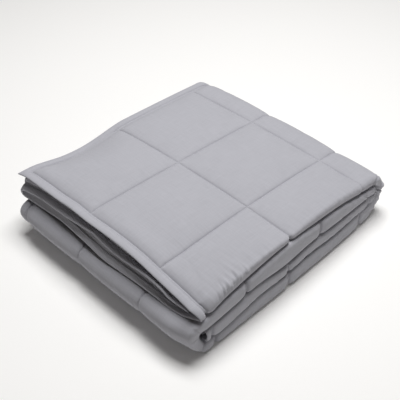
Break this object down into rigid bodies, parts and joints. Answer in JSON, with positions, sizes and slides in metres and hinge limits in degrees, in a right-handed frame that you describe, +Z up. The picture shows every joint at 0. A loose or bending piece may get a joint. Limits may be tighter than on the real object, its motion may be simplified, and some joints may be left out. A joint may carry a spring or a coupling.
{
  "type": "weighted blanket",
  "caption": "Quilted weighted blanket in plain grey cotton, folded into a flat stack, with filling stitched into a grid of cells and a turned hem all round.",
  "frame": {"origin": "centre of the stack's footprint, on the surface that it rests on", "axes": "+X along the folded stack, towards the end where the top level turns over and under; +Y across it, away from the side where the folds of every level show; +Z up"},
  "size_m": [0.4652, 0.408, 0.1182],
  "materials": {
    "blanket": "matte plain-weave cotton, quilted"
  },
  "bodies": {
    "root": {"blanket": "blanket"}
  },
  "joints": []
}
